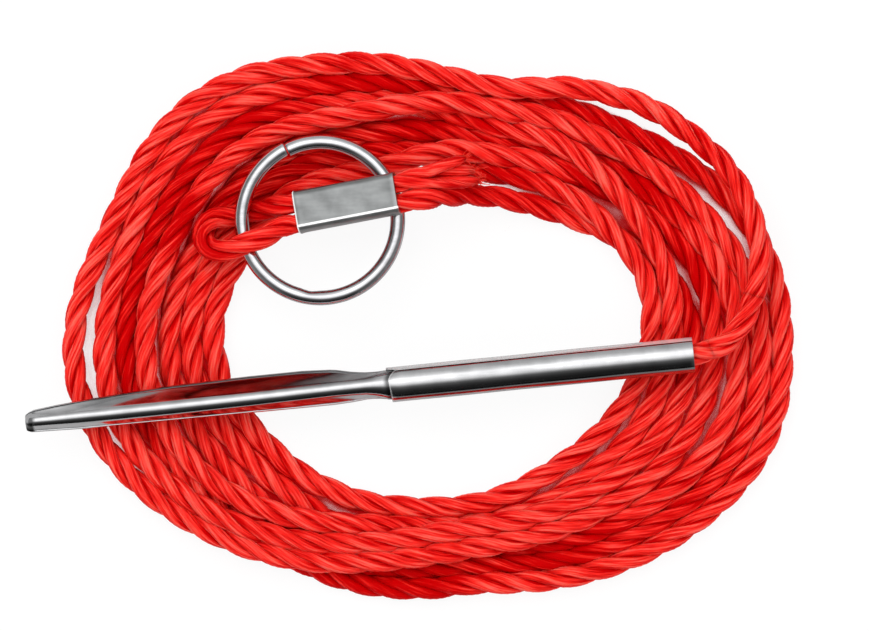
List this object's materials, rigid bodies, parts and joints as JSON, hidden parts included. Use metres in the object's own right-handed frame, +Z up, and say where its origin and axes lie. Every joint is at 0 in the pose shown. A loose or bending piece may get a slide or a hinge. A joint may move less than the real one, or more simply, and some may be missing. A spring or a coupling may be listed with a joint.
{
  "type": "fish stringer",
  "caption": "Fish stringer: a loose coil of twisted cord with a split wire ring crimped to one end and a sheet-metal needle on the other.",
  "frame": {"origin": "on the surface that the coil lies on, under the middle of the whole object's box", "axes": "+X across the coil towards the needle's mouth, +Y towards the ring's side, +Z up"},
  "size_m": [0.1146, 0.0828, 0.0133],
  "materials": {
    "ring_wire": "bright nickel-plated wire",
    "sleeve_zinc": "satin zinc-coated sheet",
    "needle_steel": "polished plated sheet steel",
    "cord": "glossy three-strand twisted multifilament"
  },
  "bodies": {
    "cord": {"cord_coil": "cord", "cord_start": "cord", "cord_crimped": "cord", "crimp_sleeve": "sleeve_zinc", "cord_eye": "cord", "cord_tail": "cord", "cord_lead": "cord"},
    "ring": {"ring": "ring_wire"},
    "bend": {"cord_bend": "cord"},
    "needle": {"needle": "needle_steel", "cord_end": "cord"}
  },
  "joints": [
    {"name": "ring_turn", "type": "hinge", "parent": "cord", "child": "ring", "pos_m": [-0.0132, 0.016, 0.00755], "axis": [0, 0, 1], "continuous": true},
    {"name": "needle_swing", "type": "hinge", "parent": "cord", "child": "bend", "pos_m": [0.04469, -0.00376, 0.00929], "axis": [0, 0, 1], "range_deg": [-8, 60]},
    {"name": "needle_lift", "type": "hinge", "parent": "bend", "child": "needle", "pos_m": [0.04469, -0.00376, 0.00929], "axis": [-0.0993, 0.9951, 0], "range_deg": [0, 75]}
  ]
}
